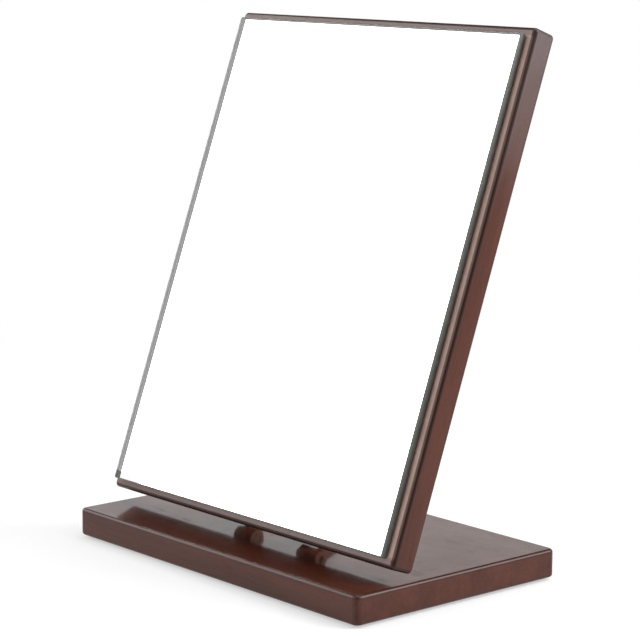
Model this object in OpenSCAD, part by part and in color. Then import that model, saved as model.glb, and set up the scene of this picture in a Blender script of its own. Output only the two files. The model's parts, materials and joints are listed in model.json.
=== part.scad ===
// Countertop mirror: a glued mirror glass on a wooden board that tilts on two
// friction hinges above a wooden base. Millimetres, +Z up, front towards -Y.
// The origin lies on the counter, under the middle of the base.

/* [Base board] */
// Width of the base
base_w = 250; // [200:1:340]
// Depth of the base, front to back
base_d = 150; // [125:1:200]
// Thickness of the base
base_t = 16.5; // [13:0.5:25]
// Rounding of the base's four corners, seen from above
base_corner = 4; // [1:0.25:8]
// Rounding of the base's upper and lower edges
base_round = 2; // [1:0.25:5]

/* [Rubber feet] */
// Diameter of a foot
foot_d = 14; // [8:0.5:20]
// Height of a foot
foot_h = 1.5; // [1:0.1:4]
// Distance of a foot's centre from the two edges beside it
foot_inset = 14; // [12:0.5:30]
// Chamfer round the tread of a foot
foot_chamfer = 0.4; // [0.2:0.1:0.8]

/* [Mirror board] */
// Width of the board behind the glass
board_w = 249; // [190:1:330]
// Height of the board
board_h = 301; // [220:1:400]
// Thickness of the board
board_t = 16; // [13:0.5:25]
// Rounding of the board's four corners, seen from the front
board_corner = 2.5; // [1:0.25:5]
// Rounding of the edges beside the glass
board_front_round = 2.5; // [0.5:0.25:3]
// Rounding of the edges at the back
board_back_round = 4; // [1:0.25:4]
// Distance from the base's front edge to the upright board's front face
setback = 26; // [15:0.5:40]
// Lean of the board in its stored position, from upright
lean = 20; // [0:1:45]
// Lean at which the hinges stop
lean_max = 50; // [46:1:60]

/* [Mirror glass] */
// Wooden border left visible round the glass
border = 5; // [2:0.25:12]
// Thickness of the glass
glass_t = 4; // [3:0.5:6]
// Rounding of the glass's ground edges
glass_round = 0.5; // [0.3:0.05:0.8]
// Rounding of the glass's corners, seen from the front
glass_corner = 1; // [0.8:0.1:3]
// Thickness of the silvering with its paint and safety film
film_t = 0.3; // [0.2:0.05:0.5]
// Width of a strip of foam tape
tape_w = 19; // [12:0.5:30]
// Thickness of the foam tape
tape_t = 1.1; // [0.8:0.1:2]
// Distance that the tape stays back from the glass's edge
tape_inset = 3; // [2:0.25:8]
// Gap between the ends of two strips
tape_gap = 2; // [1:0.25:4]

/* [Hinges] */
// Distance of each hinge's middle from the centre plane
hinge_x = 28.5; // [23:0.5:80]
// Pivot's distance behind the board's back face
pivot_behind = 10; // [9:0.25:16]
// Pivot's height above the board's lower end, with the board upright
pivot_up = 7; // [6.5:0.25:12]
// Gap under the upright board
upright_gap = 0.5; // [0.3:0.05:2]
// Diameter of the pivot pin
pin_d = 6; // [4:0.1:7.2]
// Metal round the pin in the ears, the washers and the springs
eye_wall = 2; // [1.5:0.1:2.5]
// Thickness of the bracket ears
ear_t = 2.5; // [1.5:0.1:3]
// Thickness of the bracket plates
plate_t = 2.5; // [2:0.1:3]
// Width of the bracket plates
plate_w = 24; // [20:0.5:30]
// Length of the plate on the base
base_plate_l = 40; // [32:1:60]
// Length of the plate on the mirror board
board_plate_l = 45; // [36:1:80]
// Thickness of the pin's head
head_t = 2.5; // [2.1:0.1:4]
// Width across flats of the socket in the pin's head
socket_af = 4; // [3:0.1:5]
// Thickness of a friction washer
washer_t = 1; // [0.5:0.1:2]
// Height of one disc spring
spring_h = 1; // [0.8:0.05:1.5]
// Sheet thickness of a disc spring
spring_t = 0.6; // [0.4:0.05:0.7]
// Width across flats of the nut
nut_af = 10; // [9:0.1:11]
// Thickness of the nut
nut_t = 4.5; // [3:0.1:6]

/* [Wood screws] */
// Diameter of a screw's shank
screw_d = 3.5; // [2.5:0.1:4.5]
// Diameter of a screw's countersunk head
screw_head_d = 7; // [6:0.1:8]
// Length of a screw, head included
screw_l = 14; // [9:0.5:15]
// Distance of a screw from the plate's edges
screw_edge = 6.5; // [5:0.25:8]

/* [Fits] */
// Radial running clearance of the pin in its bores
pin_clear = 0.05; // [0.02:0.01:0.1]
// Axial gap on each side of the turning ear
side_gap = 0.05; // [0.02:0.01:0.2]
// Clearance round a screw, in the plates and in the wood
screw_clear = 0.05; // [0.02:0.01:0.2]
// Gap left between the stop heel and the plate at the greatest lean
stop_gap = 0.3; // [0.1:0.05:0.6]

/* [Hidden] */
$fn = 64;
cut = 1;                                   // overshoot of a cutter past a face

// Places of the base and the pivot
base_top = foot_h + base_t;
pivot_y = -base_d / 2 + setback + board_t + pivot_behind;
pivot_h = upright_gap + pivot_up;          // above the top of the base
pivot_z = base_top + pivot_h;

// The board in the pivot's own frame: upright, back face at -pivot_behind
front_y = -pivot_behind - board_t;
glass_w = board_w - 2 * border;
glass_h = board_h - 2 * border;
glass_z = border - pivot_up;
film_y = front_y - tape_t;
glass_y = film_y - film_t;

// Foam tape, in the same frame
tape_span = glass_w - 2 * tape_inset;
tape_low = glass_z + tape_inset;
tape_high = glass_z + glass_h - tape_inset - tape_w;
tape_rise = tape_high - tape_low - tape_w - 2 * tape_gap;

// Radii round the pivot
pin_r = pin_d / 2;
bore_r = pin_r + pin_clear;
eye_r = pin_r + eye_wall;
web_r = 0.84 * eye_r;                      // half the web's depth where it meets the eye

// The hinge's stack along the pivot, from the pin's head inwards
stack = head_t + 2 * ear_t + 2 * washer_t + 2 * side_gap + 2 * spring_h + nut_t;
base_ear_x = stack / 2 - head_t - ear_t;
washer_out_x = base_ear_x - washer_t;
board_ear_x = washer_out_x - side_gap - ear_t;
washer_in_x = board_ear_x - side_gap - washer_t;
springs_x = washer_in_x - 2 * spring_h;
nut_x = -stack / 2;

// The plates, in the pivot's frame
eye_room = 1;                              // from the eyes to the front of the base's plate
plate_round = 3;
base_plate_y = eye_r + eye_room;
base_plate_z = plate_t - pivot_h;          // its upper face
web_l = 20;                                // reach of the ears' webs along their plates
board_plate_y = plate_t - pivot_behind;    // its rear face
board_plate_z = 4 - pivot_up;              // its lower end
board_web_top = board_plate_z + web_l + 6;

// The stop: at the greatest lean the heel on the turning ear lies just over the base's plate
heel_l = base_plate_y + 2.5;
heel_h = 4;
heel_z = base_plate_z + stop_gap;

// Screws: two beside each other and one on the middle line, in each plate
screw_head_h = (screw_head_d - screw_d) / 2;
screw_tip = 3;
recess_w = 1;
recess_l = 0.62 * screw_head_d;
recess_h = 1.2;

// ---------- shared shapes ----------

// What a quarter round of radius r leaves over in a corner at the origin
module corner_waste(r) {
    difference() {
        translate([-cut, -cut]) square(r + cut);
        translate([r, r]) circle(r);
    }
}

// Rectangle from the origin; radii run anticlockwise from the corner there
module rounded_rect(w, h, radii) {
    corners = [[0, 0], [w, 0], [w, h], [0, h]];
    difference() {
        square([w, h]);
        for (i = [0:3])
            if (radii[i] > 0)
                translate(corners[i]) rotate(90 * i) corner_waste(radii[i]);
    }
}

// Board lying flat: w along X about the centre, l along +Y, t along +Z
module rounded_board(w, l, t, corner_r, upper_r, lower_r) {
    section = [lower_r, lower_r, upper_r, upper_r];
    translate([-w / 2, 0, 0]) intersection() {
        linear_extrude(t) rounded_rect(w, l, [for (i = [0:3]) corner_r]);
        rotate([90, 0, 90]) linear_extrude(w) rounded_rect(l, t, section);
        translate([0, l, 0]) rotate([90, 0, 0]) linear_extrude(l) rounded_rect(w, t, section);
    }
}

// Sheet or slice standing across the pivot: its outline is drawn in Y and Z
module across(x, t) {
    translate([x, 0, 0]) rotate([90, 0, 90]) linear_extrude(t) children();
}

// Ring about the pivot, from x to x + t
module ring(x, t, outer_r, inner_r) {
    across(x, t) difference() {
        circle(outer_r);
        circle(inner_r);
    }
}

// Moves children into the pivot's frame of one hinge, with X outwards
module at_hinge(side) {
    translate([side * hinge_x, pivot_y, pivot_z])
        if (side < 0) mirror([1, 0, 0]) children();
        else children();
}

// Moves children from the upright board's place to the leaning one, about the pivot
module leaning() {
    translate([0, pivot_y, pivot_z]) rotate([-lean, 0, 0]) children();
}

// ---------- screws and their places ----------

// Countersunk screw with its head's face at z = 0, pointing down
module wood_screw() {
    color("silver") difference() {
        rotate_extrude() polygon([
            [0, 0], [screw_head_d / 2, 0], [screw_d / 2, -screw_head_h],
            [screw_d / 2, screw_tip - screw_l], [0, -screw_l]
        ]);
        for (a = [0, 90])
            rotate(a) translate([-recess_l / 2, -recess_w / 2, -recess_h])
                cube([recess_l, recess_w, recess_h + cut]);
    }
}

// Room for a screw: the same outline grown by its clearance
module screw_room() {
    wide_r = screw_head_d / 2 + screw_clear;
    shank_r = screw_d / 2 + screw_clear;
    rotate_extrude() polygon([
        [0, cut], [wide_r, cut], [wide_r, 0], [shank_r, -screw_head_h],
        [shank_r, -screw_l - screw_clear], [0, -screw_l - screw_clear]
    ]);
}

// Puts children at the three screws of a plate w wide and l long, from its corner at the origin
module screw_places(w, l) {
    for (p = [[screw_edge, screw_edge], [w - screw_edge, screw_edge], [w / 2, l - screw_edge]])
        translate([p.x, p.y, 0]) children();
}

// Screws of the plate on the base, in the hinge's frame; z = 0 is the plate's upper face
module base_screw_places() {
    translate([base_ear_x + ear_t - plate_w, base_plate_y + base_plate_l, base_plate_z])
        mirror([0, 1, 0]) screw_places(plate_w - ear_t, base_plate_l - 8) children();
}

// Screws of the plate on the board, in the upright hinge's frame; they point to -Y
module board_screw_places() {
    translate([board_ear_x + ear_t - plate_w, board_plate_y, board_plate_z + board_plate_l])
        rotate([-90, 0, 0]) screw_places(plate_w - ear_t, board_plate_l - 14) children();
}

// ---------- base ----------

module base_board() {
    color([0.34, 0.22, 0.18]) difference() {
        translate([0, -base_d / 2, foot_h])
            rounded_board(base_w, base_d, base_t, base_corner, base_round, base_round);
        for (side = [-1, 1]) at_hinge(side) base_screw_places() screw_room();
    }
}

// Turned pad, tread down
module foot(side, row) {
    x = side * (base_w / 2 - foot_inset);
    y = row * (base_d / 2 - foot_inset);
    r = foot_d / 2;
    color([0.12, 0.12, 0.12]) translate([x, y, 0]) rotate_extrude() polygon([
        [0, 0], [r - foot_chamfer, 0], [r, foot_chamfer], [r, foot_h], [0, foot_h]
    ]);
}

// Foot plate with one ear; the web behind the eye braces the ear
module base_bracket(side) {
    color([0.2, 0.2, 0.21]) at_hinge(side) difference() {
        union() {
            across(base_ear_x, ear_t) union() {
                circle(eye_r);
                polygon([
                    [0, web_r], [base_plate_y + web_l, base_plate_z],
                    [base_plate_y + web_l, -pivot_h], [base_plate_y, -pivot_h], [0, -web_r]
                ]);
            }
            translate([base_ear_x + ear_t - plate_w, base_plate_y, -pivot_h])
                linear_extrude(plate_t)
                    rounded_rect(plate_w, base_plate_l, [plate_round, 0, 0, plate_round]);
        }
        across(base_ear_x - cut, ear_t + 2 * cut) circle(bore_r);
        base_screw_places() screw_room();
    }
}

module base_bracket_screws() {
    for (side = [-1, 1]) at_hinge(side) base_screw_places() wood_screw();
}

// ---------- pivots ----------

// Pin with a round head and a hexagon socket, pushed in from outside
module hinge_pin(side) {
    socket_h = head_t - 0.8;
    end_chamfer = 0.5;
    color("silver") at_hinge(side) rotate([0, 90, 0]) difference() {
        rotate_extrude() polygon([
            [0, nut_x], [pin_r - end_chamfer, nut_x], [pin_r, nut_x + end_chamfer],
            [pin_r, stack / 2 - head_t], [eye_r, stack / 2 - head_t],
            [eye_r, stack / 2 - end_chamfer], [eye_r - end_chamfer, stack / 2], [0, stack / 2]
        ]);
        translate([0, 0, stack / 2 - socket_h])
            cylinder(h = socket_h + cut, d = socket_af / cos(30), $fn = 6);
    }
}

// Hexagon nut with its corners turned off at both faces
module hinge_nut(side) {
    corner_r = nut_af / 2 / cos(30);
    turned = corner_r - nut_af / 2;
    color("silver") at_hinge(side) translate([nut_x, 0, 0]) rotate([0, 90, 0]) difference() {
        intersection() {
            cylinder(h = nut_t, r = corner_r, $fn = 6);
            rotate_extrude() polygon([
                [0, 0], [nut_af / 2, 0], [corner_r, turned / 2],
                [corner_r, nut_t - turned / 2], [nut_af / 2, nut_t], [0, nut_t]
            ]);
        }
        translate([0, 0, -cut]) cylinder(h = nut_t + 2 * cut, r = bore_r);
    }
}

// One washer on each side of the turning ear
module friction_washers(side) {
    color([0.75, 0.6, 0.3]) at_hinge(side)
        for (x = [washer_out_x, washer_in_x]) ring(x, washer_t, eye_r, bore_r);
}

// Two disc springs, back to back, that keep the stack tight
module disc_springs(side) {
    color([0.45, 0.45, 0.47]) at_hinge(side)
        for (end = [0, 1])
            translate([springs_x + 2 * spring_h * end, 0, 0])
                rotate([0, 90 - 180 * end, 0]) rotate_extrude() polygon([
                    [bore_r, 0], [eye_r, spring_h - spring_t],
                    [eye_r, spring_h], [bore_r, spring_t]
                ]);
}

// ---------- mirror ----------

module mirror_board() {
    color([0.36, 0.24, 0.2]) difference() {
        leaning() translate([0, -pivot_behind, -pivot_up]) rotate([90, 0, 0])
            rounded_board(board_w, board_h, board_t,
                          board_corner, board_front_round, board_back_round);
        for (side = [-1, 1]) on_leaning_hinge(side) board_screw_places() screw_room();
    }
}

// A hinge's frame turned with the board
module on_leaning_hinge(side) {
    at_hinge(side) rotate([-lean, 0, 0]) children();
}

module mirror_glass() {
    color([0.85, 0.9, 0.9]) leaning() translate([0, glass_y, glass_z]) rotate([90, 0, 0])
        rounded_board(glass_w, glass_h, glass_t, glass_corner, glass_round, glass_round);
}

// Silvering, paint and safety film on the back of the glass
module mirror_backing() {
    color([0.35, 0.37, 0.38]) leaning()
        translate([glass_round - glass_w / 2, film_y, glass_z + glass_round])
            rotate([90, 0, 0]) linear_extrude(film_t)
                square([glass_w - 2 * glass_round, glass_h - 2 * glass_round]);
}

// Strip of foam tape, w wide and h high, from its lower left corner
module tape_strip(x, z, w, h) {
    color([0.1, 0.1, 0.1]) leaning() translate([x, front_y, z]) rotate([90, 0, 0])
        linear_extrude(tape_t) square([w, h]);
}

// Bracket screwed to the back of the board, with the turning ear and its stop heel
module board_bracket(side) {
    color([0.2, 0.2, 0.21]) on_leaning_hinge(side) difference() {
        union() {
            across(board_ear_x, ear_t) union() {
                circle(eye_r);
                polygon([
                    [0, web_r], [board_plate_y, board_web_top],
                    [-pivot_behind, board_web_top], [-pivot_behind, board_plate_z], [0, -web_r]
                ]);
                rotate(lean_max) translate([0, heel_z]) square([heel_l, heel_h]);
            }
            translate([board_ear_x + ear_t - plate_w, -pivot_behind + plate_t, board_plate_z])
                rotate([90, 0, 0]) linear_extrude(plate_t)
                    rounded_rect(plate_w, board_plate_l, [plate_round, 0, 0, plate_round]);
        }
        across(board_ear_x - cut, ear_t + 2 * cut) circle(bore_r);
        board_screw_places() screw_room();
    }
}

module board_bracket_screws() {
    for (side = [-1, 1]) on_leaning_hinge(side) board_screw_places() wood_screw();
}

// ---------- assembly ----------

base_board();
foot(-1, -1);  // foot_front_left
foot(1, -1);  // foot_front_right
foot(-1, 1);  // foot_rear_left
foot(1, 1);  // foot_rear_right
base_bracket(-1);  // base_bracket_left
base_bracket(1);  // base_bracket_right
base_bracket_screws();
hinge_pin(-1);  // hinge_pin_left
hinge_pin(1);  // hinge_pin_right
hinge_nut(-1);  // hinge_nut_left
hinge_nut(1);  // hinge_nut_right
friction_washers(-1);  // friction_washers_left
friction_washers(1);  // friction_washers_right
disc_springs(-1);  // disc_springs_left
disc_springs(1);  // disc_springs_right
mirror_board();
mirror_glass();
mirror_backing();
tape_strip(-tape_span / 2, tape_high, tape_span, tape_w);  // tape_top
tape_strip(-tape_span / 2, tape_low, tape_span, tape_w);  // tape_bottom
tape_strip(-tape_span / 2, tape_low + tape_w + tape_gap, tape_w, tape_rise);  // tape_left
tape_strip(tape_span / 2 - tape_w, tape_low + tape_w + tape_gap, tape_w, tape_rise);  // tape_right
tape_strip(-tape_w / 2, tape_low + tape_w + tape_gap, tape_w, tape_rise);  // tape_middle
board_bracket(-1);  // board_bracket_left
board_bracket(1);  // board_bracket_right
board_bracket_screws();
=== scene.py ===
"""Looks of the countertop mirror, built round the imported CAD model. Metres, +Z up, front towards -Y."""
import json
import math

import bmesh
import bpy
from mathutils import Matrix, Vector


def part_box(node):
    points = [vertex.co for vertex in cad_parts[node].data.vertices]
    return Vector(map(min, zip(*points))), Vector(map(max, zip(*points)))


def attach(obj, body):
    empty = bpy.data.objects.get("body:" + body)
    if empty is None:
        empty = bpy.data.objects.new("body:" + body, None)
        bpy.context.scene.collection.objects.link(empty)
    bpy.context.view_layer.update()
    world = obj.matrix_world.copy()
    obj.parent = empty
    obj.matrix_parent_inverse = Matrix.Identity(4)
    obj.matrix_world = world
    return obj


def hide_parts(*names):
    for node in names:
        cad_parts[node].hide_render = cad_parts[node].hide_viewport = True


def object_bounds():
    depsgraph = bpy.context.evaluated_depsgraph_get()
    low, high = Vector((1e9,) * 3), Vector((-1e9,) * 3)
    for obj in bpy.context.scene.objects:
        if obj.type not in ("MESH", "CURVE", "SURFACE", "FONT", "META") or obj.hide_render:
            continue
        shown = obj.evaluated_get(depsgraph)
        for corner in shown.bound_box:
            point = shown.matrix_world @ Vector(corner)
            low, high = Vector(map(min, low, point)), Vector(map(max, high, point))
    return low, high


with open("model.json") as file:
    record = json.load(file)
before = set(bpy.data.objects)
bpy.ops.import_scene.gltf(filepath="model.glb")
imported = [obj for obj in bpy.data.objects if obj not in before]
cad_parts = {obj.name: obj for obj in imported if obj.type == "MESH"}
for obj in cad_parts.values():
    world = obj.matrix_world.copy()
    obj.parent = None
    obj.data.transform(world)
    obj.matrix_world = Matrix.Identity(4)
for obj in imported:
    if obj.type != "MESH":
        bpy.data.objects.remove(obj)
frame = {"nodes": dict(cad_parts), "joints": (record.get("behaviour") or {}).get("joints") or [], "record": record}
cad_lo, cad_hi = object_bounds()

MM = 0.001
TOLERANCE = 0.001 * MM


# ---------- places, from the frame ----------

# The tilt's lower limit stands the board upright, so it tells how far the board leans at rest.
TILT_JOINT = frame["joints"][0]
PIVOT = Vector(TILT_JOINT["pos_m"])
LEAN = math.radians(-TILT_JOINT["range_deg"][0])
LEANING = Matrix.Translation(PIVOT) @ Matrix.Rotation(-LEAN, 4, "X")
UPRIGHT = LEANING.inverted()


def upright_box(node):
    """Lowest and highest corners of a node of the mirror, in the pivot's frame with the board upright."""
    points = [UPRIGHT @ v.co for v in frame["nodes"][node].data.vertices]
    low = Vector([min(p[i] for p in points) for i in range(3)])
    high = Vector([max(p[i] for p in points) for i in range(3)])
    return low, high


def laid_flat(low, high):
    """Size of an upright box as board_mesh takes it: width, height and thickness."""
    return Vector((high.x - low.x, high.z - low.z, high.y - low.y))


base_lo, base_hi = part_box("base_board")
board_lo, board_hi = upright_box("mirror_board")
glass_lo, glass_hi = upright_box("mirror_glass")
film_lo, film_hi = upright_box("mirror_backing")


# ---------- camera ----------

CAMERA_AZIMUTH = math.radians(49.04)
CAMERA_ELEVATION = math.radians(9.09)
CAMERA_ROLL = math.radians(0.17)
CAMERA_DISTANCE = 1.360
CAMERA_TARGET = Vector((0.0114, 0.0, 0.1563))
CAMERA_LENS = 134.5
CAMERA_SENSOR = 36.0
CAMERA_SHIFT = (-0.0055, -0.0394)


def make_camera():
    """Camera at the front right of the object and a little above it, as in the photo."""
    data = bpy.data.cameras.new("camera")
    data.lens = CAMERA_LENS
    data.sensor_width = CAMERA_SENSOR
    data.shift_x, data.shift_y = CAMERA_SHIFT
    camera = bpy.data.objects.new("camera", data)
    bpy.context.scene.collection.objects.link(camera)
    away = Vector((
        math.sin(CAMERA_AZIMUTH) * math.cos(CAMERA_ELEVATION),
        -math.cos(CAMERA_AZIMUTH) * math.cos(CAMERA_ELEVATION),
        math.sin(CAMERA_ELEVATION),
    ))
    camera.location = CAMERA_TARGET + away * CAMERA_DISTANCE
    turn = (-away).to_track_quat("-Z", "Y").to_matrix().to_4x4()
    roll = Matrix.Rotation(CAMERA_ROLL, 4, "Z")
    camera.matrix_world = Matrix.Translation(camera.location) @ turn @ roll
    bpy.context.scene.camera = camera


make_camera()


# ---------- material helpers ----------

class Nodes:
    """Short way to write a node tree: a call adds a node and returns it, or its output."""

    def __init__(self, tree):
        self.tree = tree

    def add(self, kind, values=None, **settings):
        node = self.tree.nodes.new(kind)
        for key, value in settings.items():
            setattr(node, key, value)
        for key, value in (values or {}).items():
            self.put(node.inputs[key], value)
        return node

    def put(self, socket, value):
        if isinstance(value, bpy.types.NodeSocket):
            self.tree.links.new(value, socket)
        else:
            socket.default_value = value

    def math(self, operation, *values):
        return self.add("ShaderNodeMath", dict(enumerate(values)), operation=operation).outputs[0]

    def vector_math(self, operation, *values):
        node = self.add("ShaderNodeVectorMath", dict(enumerate(values)), operation=operation)
        return node.outputs["Value" if operation in ("LENGTH", "DOT_PRODUCT") else "Vector"]

    def weighted(self, *terms):
        """Sum of (value, weight) terms."""
        total, *others = [self.math("MULTIPLY", value, weight) for value, weight in terms]
        for product in others:
            total = self.math("ADD", total, product)
        return total

    def split(self, vector):
        """The three components of a vector."""
        return tuple(self.add("ShaderNodeSeparateXYZ", {"Vector": vector}).outputs)

    def position(self):
        """Object coordinates."""
        return self.add("ShaderNodeTexCoord").outputs["Object"]

    def mapped(self, vector, scale=(1, 1, 1), rotation=(0, 0, 0), location=(0, 0, 0)):
        """A vector stretched, turned and moved."""
        return self.add("ShaderNodeMapping", {
            "Vector": vector, "Scale": scale, "Rotation": rotation, "Location": location,
        }).outputs["Vector"]

    def noise(self, vector, scale, detail, roughness=0.5):
        return self.add("ShaderNodeTexNoise", {
            "Vector": vector, "Scale": scale, "Detail": detail, "Roughness": roughness,
        }).outputs["Fac"]

    def fade(self, value, start, end, first=0.0, last=1.0, style="SMOOTHSTEP"):
        """first until the value reaches start, last once it is past end."""
        return self.add("ShaderNodeMapRange", {
            "Value": value, "From Min": start, "From Max": end, "To Min": first, "To Max": last,
        }, interpolation_type=style).outputs[0]

    def ramp(self, fac, *stops):
        """Colour ramp from (position, colour or grey value) stops."""
        node = self.add("ShaderNodeValToRGB", {"Fac": fac})
        elements = node.color_ramp.elements
        while len(elements) < len(stops):
            elements.new(0.5)
        for element, (position, colour) in zip(elements, stops):
            element.position = position
            grey = not hasattr(colour, "__len__")
            element.color = (colour, colour, colour, 1) if grey else (*colour, 1)
        return node.outputs["Color"]

    def mix(self, fac, a, b):
        """Mix of two colours: the node's colour sockets are its inputs 6 and 7 and its output 2."""
        node = self.add("ShaderNodeMix", {0: fac}, data_type="RGBA")
        for socket, value in ((node.inputs[6], a), (node.inputs[7], b)):
            self.put(socket, value if isinstance(value, bpy.types.NodeSocket) else (*value, 1))
        return node.outputs[2]

    def bump(self, height, strength, distance):
        values = {"Height": height, "Strength": strength, "Distance": distance}
        return self.add("ShaderNodeBump", values).outputs["Normal"]


def new_material(name):
    """Empty material with its output: returns the material, its nodes and the output."""
    material = bpy.data.materials.new(name)
    material.use_nodes = True
    material.node_tree.nodes.clear()
    nodes = Nodes(material.node_tree)
    return material, nodes, nodes.add("ShaderNodeOutputMaterial")


def principled(nodes, output, values):
    """Principled shader with these values, as the surface of the output."""
    shader = nodes.add("ShaderNodeBsdfPrincipled", values)
    nodes.put(output.inputs["Surface"], shader.outputs[0])


# ---------- wood ----------

WOOD_DEEP = (0.040, 0.0100, 0.0051)
WOOD_MID = (0.070, 0.0187, 0.0101)
WOOD_LIGHT = (0.092, 0.0260, 0.0140)
WOOD_PORE = (0.026, 0.0075, 0.0045)
# Painted dark reflection, mixed in along the rounded edges.
WOOD_PAINTED_EDGE_DARK = (0.016, 0.0055, 0.0040)
# Painted highlight, mixed in on the front border beside the glass.
WOOD_PAINTED_HIGHLIGHT = (0.680, 0.4700, 0.3950)
# Painted sheen, mixed in high on the sides of the mirror board.
WOOD_PAINTED_SHEEN = (0.138, 0.1160, 0.1160)

# Grain, as noise with so many cycles per metre: along it, then in the two directions across it.
WANDER = (2.2, 9, 9)
FIBRES = (14, 620, 620)
STREAKS = (3.5, 55, 55)
PORES = (95, 2100, 2100)
MARKS = (70, 480, 480)

# How far the grain wanders along and across itself, and how many year rings go into a metre.
WANDER_REACH = (0, 30 * MM, 30 * MM)
RINGS_PER_METRE = 210.0

# Painted dark reflection on the rounded edges: how far from an edge its zone reaches,
# and how far into that zone the dark starts.
ARRIS_REACH = 2.6 * MM
ARRIS_START = 0.13 * MM

# Painted sheen, greyer high on the sides of the mirror board: the depths under a side where the grey starts
# and is full, the heights where it does, as shares of the board's, how far those wander, and how grey it gets.
SIDE_START = 4 * MM
SIDE_FULL = 1 * MM
GREY_START = 0.62
GREY_FULL = 1.12
GREY_WANDER = 150 * MM
GREY_MOST = 0.8

# Painted highlight, a paler border in front: the depths under the front face where the pale colour starts and is
# full, how near a side and how far from an end it has to be, the ramp from there, and how pale the rest of the
# front is.
FRONT_START = 0.9 * MM
FRONT_FULL = 0.2 * MM
BORDER_FROM_SIDE = 6.5 * MM
BORDER_FROM_END = 4.5 * MM
BORDER_RAMP = 2 * MM
BORDER_ELSEWHERE = 0.20


def painted_edge_dark_mask(n, size, ramp):
    """Mask of the painted dark reflection: 1 along the rounded edges of a board_mesh of this size,
    0 on its flat faces, over a ramp this long.
    """
    middle = (0.0, size.y / 2, size.z / 2)
    inner = tuple(side / 2 - ARRIS_REACH for side in size)
    mirrored = n.vector_math("ABSOLUTE", n.vector_math("SUBTRACT", n.position(), middle))
    past = n.split(n.vector_math("SUBTRACT", mirrored, inner))
    pairs = [n.math("MINIMUM", past[i], past[j]) for i, j in ((0, 1), (1, 2), (0, 2))]
    depth = n.math("MAXIMUM", pairs[0], n.math("MAXIMUM", pairs[1], pairs[2]))
    return n.fade(depth, ARRIS_START, ARRIS_START + ramp)


def paint_sheen_and_highlight(n, colour, plain, clouds, size):
    """Painted light on the stain: a painted sheen greys it high on the board's two sides, and a painted
    highlight makes it pale in front beside the glass.
    """
    across, up, out = n.split(n.position())
    sideways = n.math("ABSOLUTE", across)
    # Painted sheen: grey mixed in high on the two sides.
    on_side = n.fade(sideways, size.x / 2 - SIDE_START, size.x / 2 - SIDE_FULL, style="LINEAR")
    height = n.math("ADD", up, n.math("MULTIPLY", n.math("SUBTRACT", clouds, 0.5), GREY_WANDER))
    high = n.fade(height, GREY_START * size.y, GREY_FULL * size.y, 0.0, GREY_MOST)
    colour = n.mix(n.math("MULTIPLY", on_side, high), colour, WOOD_PAINTED_SHEEN)

    # Painted highlight: pale colour in front beside the glass, blotchy, and fainter on the rest of the front.
    in_front = n.fade(out, size.z - FRONT_START, size.z - FRONT_FULL)
    from_end = n.math("MINIMUM", up, n.math("SUBTRACT", size.y, up))
    past_glass = n.math("MINIMUM", n.math("SUBTRACT", sideways, size.x / 2 - BORDER_FROM_SIDE),
                        n.math("SUBTRACT", from_end, BORDER_FROM_END))
    beside = n.fade(past_glass, 0.0, BORDER_RAMP, BORDER_ELSEWHERE, 1.0, style="LINEAR")
    blotchy_highlight = n.math("MULTIPLY", beside, n.ramp(n.noise(plain, 60.0, 3.0), (0.3, 0.82), (0.7, 1.0)))
    return n.mix(n.math("MULTIPLY", in_front, blotchy_highlight), colour, WOOD_PAINTED_HIGHLIGHT)


def wandering(n, plain):
    """Coordinates that drift slowly to and fro across the grain."""
    drift = n.add("ShaderNodeTexNoise", {
        "Vector": n.mapped(plain, scale=WANDER), "Scale": 1.0, "Detail": 3.0,
    })
    centred = n.vector_math("SUBTRACT", drift.outputs["Color"], (0.5, 0.5, 0.5))
    return n.vector_math("ADD", plain, n.vector_math("MULTIPLY", centred, WANDER_REACH))


def year_rings(n, bent):
    """Year rings round the X axis: each one rises slowly, then faster, and falls back at its end."""
    _, y, z = n.split(bent)
    radius = n.math("SQRT", n.math("ADD", n.math("POWER", y, 2.0), n.math("POWER", z, 2.0)))
    year = n.math("FRACT", n.math("MULTIPLY", radius, RINGS_PER_METRE))
    return n.ramp(year, (0.0, 0.35), (0.55, 0.55), (0.88, 1.0), (1.0, 0.35))


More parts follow.
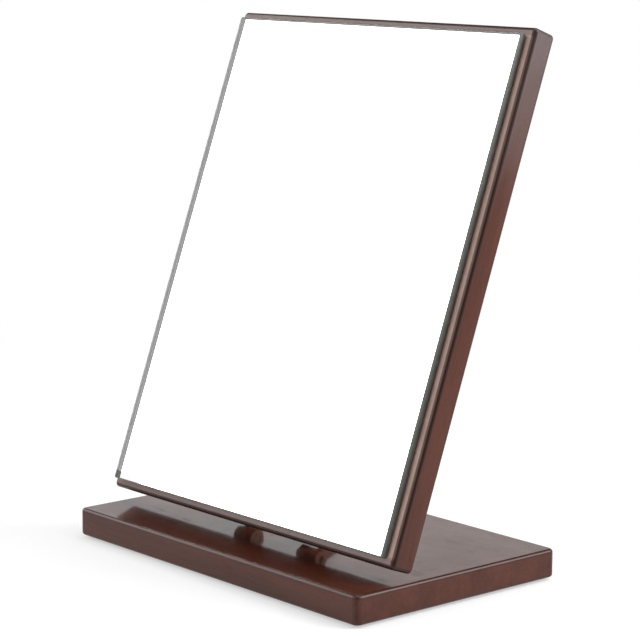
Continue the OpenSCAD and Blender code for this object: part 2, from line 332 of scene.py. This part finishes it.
def wood_material(name, size, turn, pith, painted_edge_dark, edge_ramp, with_painted_light=False):
    """Dark-stained hardwood under lacquer, for a board_mesh of this size. turn brings the grain to X, and
    pith moves the rings' centre off the board. The two edge arguments set how dark the painted dark reflection on
    the rounded edges gets and how wide its change is, and the last one adds the painted sheen and painted
    highlight."""
    material, n, output = new_material(name)
    plain = n.mapped(n.position(), rotation=turn, location=pith)
    bent = wandering(n, plain)

    def along(stretch, detail, shift=(0, 0, 0)):
        return n.noise(n.mapped(bent, scale=stretch, location=shift), 1.0, detail, 0.6)

    fibres = along(FIBRES, 4.0)
    streaks = along(STREAKS, 3.0)
    clouds = n.noise(plain, 11.0, 2.0)
    pores = n.ramp(along(PORES, 1.0, (3, 5, 7)), (0.60, 0.0), (0.70, 1.0))
    marks = n.ramp(along(MARKS, 1.0, (9, 2, 4)), (0.66, 0.0), (0.73, 1.0))
    tone = n.weighted((streaks, 0.50), (fibres, 0.22), (clouds, 0.22), (year_rings(n, bent), -0.035))
    body = n.ramp(tone, (0.26, WOOD_DEEP), (0.44, WOOD_MID), (0.60, WOOD_LIGHT))
    colour = n.mix(n.math("MULTIPLY", pores, 0.45), body, WOOD_PORE)
    # Painted sheen and painted highlight, on the mirror board only.
    if with_painted_light:
        colour = paint_sheen_and_highlight(n, colour, plain, clouds, size)
    # Painted dark reflection along the rounded edges, darker by this share.
    edge = n.math("MULTIPLY", painted_edge_dark_mask(n, size, edge_ramp), painted_edge_dark)

    orange_peel = n.noise(plain, 260.0, 2.0)
    principled(n, output, {
        "Base Color": n.mix(edge, colour, WOOD_PAINTED_EDGE_DARK),
        "Roughness": n.ramp(n.noise(plain, 45.0, 3.0), (0.3, 0.36), (0.7, 0.50)),
        "Specular IOR Level": 0.05,
        "Normal": n.bump(n.weighted((pores, -1.0), (fibres, 0.35)), 0.30, 0.12 * MM),
        "Coat Weight": n.math("MULTIPLY", n.ramp(marks, (0.0, 1.0), (1.0, 0.6)), 0.70),
        "Coat Roughness": 0.11,
        "Coat IOR": 1.38,
        "Coat Normal": n.bump(n.weighted((orange_peel, 1.0), (pores, -0.5)), 0.10, 0.10 * MM),
    })
    return material


def board_mesh(name, size, corner_r, upper_r, lower_r, segments=8):
    """Board that lies flat, with rounded corners and edges: centred on X, with Y and Z from 0 up."""
    mesh = bpy.data.meshes.new(name)
    bm = bmesh.new()
    bmesh.ops.create_cube(bm, size=1.0)
    bmesh.ops.scale(bm, vec=size, verts=bm.verts)
    bmesh.ops.translate(bm, vec=Vector((0, size.y / 2, size.z / 2)), verts=bm.verts)

    def rounded(edges, radius):
        bmesh.ops.bevel(bm, geom=edges, offset=radius, offset_type="OFFSET", segments=segments,
                        profile=0.5, affect="EDGES", clamp_overlap=True)

    upright = [e for e in bm.edges if abs(e.verts[0].co.z - e.verts[1].co.z) > size.z / 2]
    rounded(upright, corner_r)
    for level, radius in ((size.z, upper_r), (0.0, lower_r)):
        rim = [e for e in bm.edges if all(abs(v.co.z - level) < TOLERANCE for v in e.verts)]
        rounded(rim, radius)
    for face in bm.faces:
        face.smooth = True
    bm.to_mesh(mesh)
    bm.free()
    return mesh


def place(mesh, body, materials, matrix, stands_for):
    """Adds a piece to the scene, on its body, in place of the CAD nodes that it stands for."""
    piece = bpy.data.objects.new(mesh.name, mesh)
    bpy.context.scene.collection.objects.link(piece)
    for material in materials:
        mesh.materials.append(material)
    piece.matrix_world = matrix
    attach(piece, body)
    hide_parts(*stands_for)
    return piece


def steady_normals(piece):
    """Shading normals that keep the flat faces flat beside their rounded edges."""
    modifier = piece.modifiers.new("weighted_normals", "WEIGHTED_NORMAL")
    modifier.keep_sharp = True
    modifier.weight = 100


# A board lies flat in its mesh: stand it up, front face towards -Y, then lean it back.
STOOD = Matrix.Rotation(math.radians(90), 4, "X")


def on_board(back, foot):
    """From a mesh that lies flat, Z to the front, to the leaning board, with its back and its foot here."""
    return LEANING @ Matrix.Translation(Vector((0, back, foot))) @ STOOD


BASE_CORNER = 4 * MM
BASE_ROUND = 2 * MM
BOARD_CORNER = 2.5 * MM
BOARD_FRONT_ROUND = 2.5 * MM
BOARD_BACK_ROUND = 4 * MM

base_size = base_hi - base_lo
base_wood = wood_material("base_wood", base_size, turn=(0, 0, 0), pith=(0.11, 0.21, 0.055),
                          painted_edge_dark=0.50, edge_ramp=1.4 * MM)
base_mesh = board_mesh("base_board_lacquered", base_size, BASE_CORNER, BASE_ROUND, BASE_ROUND)
base = place(base_mesh, "base", [base_wood], Matrix.Translation(Vector((0, base_lo.y, base_lo.z))),
             ["base_board"])
steady_normals(base)

board_size = laid_flat(board_lo, board_hi)
board_wood = wood_material("board_wood", board_size, turn=(0, 0, math.radians(-90)),
                           pith=(0.4, 0.155, -0.085), painted_edge_dark=0.85, edge_ramp=0.6 * MM, with_painted_light=True)
panel_mesh = board_mesh("mirror_board_lacquered", board_size,
                        BOARD_CORNER, BOARD_FRONT_ROUND, BOARD_BACK_ROUND)
board = place(panel_mesh, "mirror", [board_wood], on_board(board_hi.y, board_lo.z),
              ["mirror_board"])
steady_normals(board)


# ---------- glass ----------

GLASS_IOR = 1.52
GLASS_BODY = (0.62, 0.86, 0.75, 1)
GLASS_DENSITY = 9.0
# Ground edge colours from back to front; the darker back is painted shade from the dark backing.
GROUND_BACK = (0.026, 0.024, 0.018)
GROUND_MIDDLE = (0.050, 0.052, 0.044)
GROUND_FRONT = (0.090, 0.094, 0.085)
SILVER_DULL = (0.970, 0.980, 0.975)
SILVER_BRIGHT = (0.980, 0.988, 0.984)


def glass_material(name):
    """Clear float glass with a faint green body."""
    material, n, output = new_material(name)
    polish = n.ramp(n.noise(n.position(), 20.0, 2.0), (0.4, 0.0), (0.6, 0.004))
    principled(n, output, {
        "Base Color": (1, 1, 1, 1), "Transmission Weight": 1.0, "IOR": GLASS_IOR, "Roughness": polish,
    })
    body = n.add("ShaderNodeVolumeAbsorption", {"Color": GLASS_BODY, "Density": GLASS_DENSITY})
    n.put(output.inputs["Volume"], body.outputs[0])
    return material


def ground_material(name, thickness):
    """Ground edge of the glass: a grey-green haze, with painted shade that darkens it towards the back."""
    material, n, output = new_material(name)
    haze = n.noise(n.position(), 700.0, 3.0)
    level = n.split(n.position())[2]
    depth = n.math("ADD", n.math("DIVIDE", level, thickness), n.math("MULTIPLY", haze, 0.15))
    principled(n, output, {
        "Base Color": n.ramp(depth, (0.1, GROUND_BACK), (0.55, GROUND_MIDDLE), (1.0, GROUND_FRONT)),
        "Roughness": n.ramp(haze, (0.3, 0.35), (0.7, 0.5)),
        "Normal": n.bump(haze, 0.25, 0.08 * MM),
        "Transmission Weight": 0.12,
        "IOR": GLASS_IOR,
    })
    return material


def silver_material(name):
    """Silvering seen through the glass, very slightly uneven."""
    material, n, output = new_material(name)
    cloud = n.noise(n.position(), 30.0, 3.0)
    principled(n, output, {
        "Base Color": n.ramp(cloud, (0.3, SILVER_DULL), (0.7, SILVER_BRIGHT)),
        "Metallic": 1.0,
        "Roughness": 0.0,
    })
    return material


def paint_material(name, colour, roughness, grain, depth):
    """Plain sprayed or moulded finish: a colour that wanders a little, with a fine texture. grain is how
    many cycles of the texture go into a metre, and depth is how deep it is."""
    material, n, output = new_material(name)
    cloud = n.noise(n.position(), grain * 0.08, 3.0)
    fine = n.noise(n.position(), grain, 2.0)
    darker = tuple(c * 0.8 for c in colour)
    lighter = tuple(min(c * 1.25, 1) for c in colour)
    principled(n, output, {
        "Base Color": n.ramp(cloud, (0.3, darker), (0.7, lighter)),
        "Roughness": n.ramp(fine, (0.3, roughness * 0.9), (0.7, min(roughness * 1.12, 1))),
        "Normal": n.bump(fine, 0.35, depth),
    })
    return material


def metal_material(name, colour, roughness):
    """Plated or bare metal with a fine texture and a slightly uneven colour."""
    material, n, output = new_material(name)
    fine = n.noise(n.position(), 400.0, 3.0)
    cloud = n.noise(n.position(), 180.0, 3.0)
    darker = tuple(c * 0.82 for c in colour)
    principled(n, output, {
        "Base Color": n.ramp(cloud, (0.3, darker), (0.65, colour)),
        "Metallic": 1.0,
        "Roughness": n.ramp(fine, (0.3, roughness * 0.8), (0.7, roughness * 1.25)),
        "Normal": n.bump(fine, 0.15, 0.03 * MM),
    })
    return material


GLASS_ROUND = 0.5 * MM
GLASS_CORNER = 1 * MM
FILM_ROUND = 0.05 * MM
FILM_CORNER = 0.8 * MM

# A face with more than this of Z in its normal is one of the two flat ones.
FLAT = 0.999

# The pane is this much thinner than the CAD glass, so that its back doesn't lie in the silvering.
HAIR_GAP = 0.01 * MM

clear = glass_material("mirror_glass")
ground = ground_material("ground_edge", glass_hi.y - glass_lo.y)
glass_size = laid_flat(glass_lo, glass_hi) - Vector((0, 0, HAIR_GAP))
glass_mesh = board_mesh("mirror_glass_pane", glass_size, GLASS_CORNER, GLASS_ROUND, GLASS_ROUND, segments=4)
for face in glass_mesh.polygons:
    on_rim = abs(face.normal.z) < FLAT
    face.material_index = 1 if on_rim else 0
    face.use_smooth = on_rim
place(glass_mesh, "mirror", [clear, ground], on_board(glass_hi.y - HAIR_GAP, glass_lo.z),
      ["mirror_glass"])

silver = silver_material("silvering")
backing_paint = paint_material("backing_paint", (0.11, 0.12, 0.125), 0.7, 900.0, 0.04 * MM)
film_size = laid_flat(film_lo, film_hi)
film_mesh = board_mesh("silvered_backing", film_size, FILM_CORNER, FILM_ROUND, FILM_ROUND, segments=2)
for face in film_mesh.polygons:
    face.material_index = 0 if face.normal.z > FLAT else 1
    face.use_smooth = False
place(film_mesh, "mirror", [silver, backing_paint], on_board(film_hi.y, film_lo.z),
      ["mirror_backing"])


# ---------- carried-over CAD nodes ----------

FINISHES = {
    "foot_rubber": paint_material("foot_rubber", (0.018, 0.018, 0.018), 0.75, 2500.0, 0.05 * MM),
    "foam_tape": paint_material("foam_tape", (0.015, 0.015, 0.016), 0.9, 3500.0, 0.2 * MM),
    "bracket_paint": paint_material("bracket_paint", (0.060, 0.038, 0.026), 0.42, 1600.0, 0.04 * MM),
    "pin_steel": metal_material("pin_steel", (0.100, 0.068, 0.048), 0.42),
    "screw_steel": metal_material("screw_steel", (0.60, 0.60, 0.62), 0.30),
    "spring_steel": metal_material("spring_steel", (0.30, 0.30, 0.31), 0.35),
    "washer_brass": metal_material("washer_brass", (0.58, 0.40, 0.17), 0.35),
}
BRACKET_BEVEL = 0.3 * MM
BEVEL_ANGLE = math.radians(35)


def soften_edges(node, width):
    """Small rounding on the sharp edges of a CAD node, made by modifiers; its mesh stays as it is."""
    weld = node.modifiers.new("weld", "WELD")
    weld.merge_threshold = TOLERANCE
    bevel = node.modifiers.new("bevel", "BEVEL")
    bevel.limit_method = "ANGLE"
    bevel.angle_limit = BEVEL_ANGLE
    bevel.width = width
    bevel.segments = 2
    steady_normals(node)


for row in frame["record"]["subparts"]:
    finish = FINISHES.get(row["material_slot"])
    if finish is not None:
        node = frame["nodes"][row["node"]]
        node.data.materials.clear()
        node.data.materials.append(finish)
        if row["material_slot"] == "bracket_paint":
            soften_edges(node, BRACKET_BEVEL)


# ---------- floor, world and lamps ----------

WHITE = (1, 1, 1, 1)
PAPER = (0.94, 0.94, 0.94, 1)
FLOOR_RADIUS = 9.0

# What share of the floor glows white near the middle, and how far out that starts to rise and is the whole.
GLOW_LEAST = 0.50
GLOW_START = 0.13
GLOW_FULL = 0.75

# Levels of the world: on what isn't glossy, in gloss, and what seeing it through the glass adds.
WORLD_LEVEL = 0.44
WORLD_IN_GLOSS = 1.10
EXTRA_THROUGH_GLASS = 0.06

# Where gloss sees less of the world: a direction, the degrees from it where that starts and where it is
# strongest, and what is left there. The first is where the camera stands. The others are high at the back
# left, where the rounded upper edges of the wood would else mirror the white world.
DARK_PATCHES = (
    ((0.72, -0.66, 0.20), 42, 18, 0.12),
    ((-0.56, 0.60, 0.57), 20, 12, 0.1),
    ((-0.30, 0.55, 0.78), 24, 14.4, 0.1),
    ((-0.72, 0.25, 0.65), 22, 13.2, 0.1),
)


def make_floor():
    """Pale floor: faint shadows near the object, fading to the white background further out."""
    mesh = bpy.data.meshes.new("floor")
    bm = bmesh.new()
    bmesh.ops.create_circle(bm, cap_ends=True, segments=96, radius=FLOOR_RADIUS)
    bm.to_mesh(mesh)
    bm.free()
    floor = bpy.data.objects.new("floor", mesh)
    bpy.context.scene.collection.objects.link(floor)
    material, n, output = new_material("floor")
    paper = n.add("ShaderNodeBsdfDiffuse", {"Color": PAPER})
    glow = n.add("ShaderNodeEmission", {"Color": WHITE, "Strength": 1.0})
    rays = n.add("ShaderNodeLightPath").outputs
    seen = n.math("MAXIMUM", rays["Is Camera Ray"],
                  n.math("MAXIMUM", rays["Is Glossy Ray"], rays["Is Transmission Ray"]))
    reach = n.vector_math("LENGTH", n.position())
    share = n.math("MULTIPLY", seen, n.fade(reach, GLOW_START, GLOW_FULL, GLOW_LEAST, 1.0))
    both = n.add("ShaderNodeMixShader", {0: share, 1: paper.outputs[0], 2: glow.outputs[0]})
    n.put(output.inputs["Surface"], both.outputs[0])
    mesh.materials.append(material)


def make_world():
    """White for the camera and through the glass, white with dark patches for gloss, grey on all else."""
    world = bpy.data.worlds.new("studio")
    bpy.context.scene.world = world
    world.use_nodes = True
    world.node_tree.nodes.clear()
    n = Nodes(world.node_tree)
    output = n.add("ShaderNodeOutputWorld")
    rays = n.add("ShaderNodeLightPath").outputs
    direction = n.add("ShaderNodeTexCoord").outputs["Generated"]

    def away_from(centre, outer, inner, least):
        """1 further than outer degrees from a direction, least within inner degrees of it."""
        facing = n.vector_math("DOT_PRODUCT", direction, tuple(Vector(centre).normalized()))
        return n.fade(facing, math.cos(math.radians(outer)), math.cos(math.radians(inner)), 1.0, least)

    def background(strength):
        return n.add("ShaderNodeBackground", {"Color": WHITE, "Strength": strength}).outputs[0]

    in_gloss = WORLD_IN_GLOSS
    for patch in DARK_PATCHES:
        in_gloss = n.math("MULTIPLY", in_gloss, away_from(*patch))
    extra = n.math("MULTIPLY", rays["Is Transmission Ray"], EXTRA_THROUGH_GLASS)
    lit = n.add("ShaderNodeMixShader", {
        0: rays["Is Glossy Ray"], 1: background(WORLD_LEVEL), 2: background(in_gloss),
    })
    seen = n.math("MAXIMUM", rays["Is Camera Ray"], rays["Is Transmission Ray"])
    both = n.add("ShaderNodeMixShader", {
        0: seen, 1: lit.outputs[0], 2: background(n.math("ADD", 1.0, extra)),
    })
    n.put(output.inputs["Surface"], both.outputs[0])


def softbox(name, direction, distance, width, height, radiance):
    """Rectangular lamp that faces the middle of the object."""
    data = bpy.data.lights.new(name, "AREA")
    data.shape = "RECTANGLE"
    data.size, data.size_y = width, height
    data.energy = radiance * math.pi * width * height
    lamp = bpy.data.objects.new(name, data)
    bpy.context.scene.collection.objects.link(lamp)
    away = Vector(direction).normalized()
    middle = (cad_lo + cad_hi) / 2
    lamp.matrix_world = (Matrix.Translation(middle + away * distance)
                         @ away.to_track_quat("Z", "Y").to_matrix().to_4x4())


make_floor()
make_world()
softbox("key_left", (-0.80, -0.42, 0.43), distance=1.6, width=1.35, height=1.1, radiance=3.0)
softbox("fill_right", (0.68, 0.50, 0.54), distance=1.8, width=1.4, height=1.2, radiance=6.5)
softbox("front", (-0.15, -0.88, 0.42), distance=1.6, width=0.8, height=0.6, radiance=1.8)
softbox("top", (0.05, 0.25, 0.97), distance=1.8, width=1.4, height=1.0, radiance=2.1)

bpy.context.scene.view_settings.view_transform = "Standard"
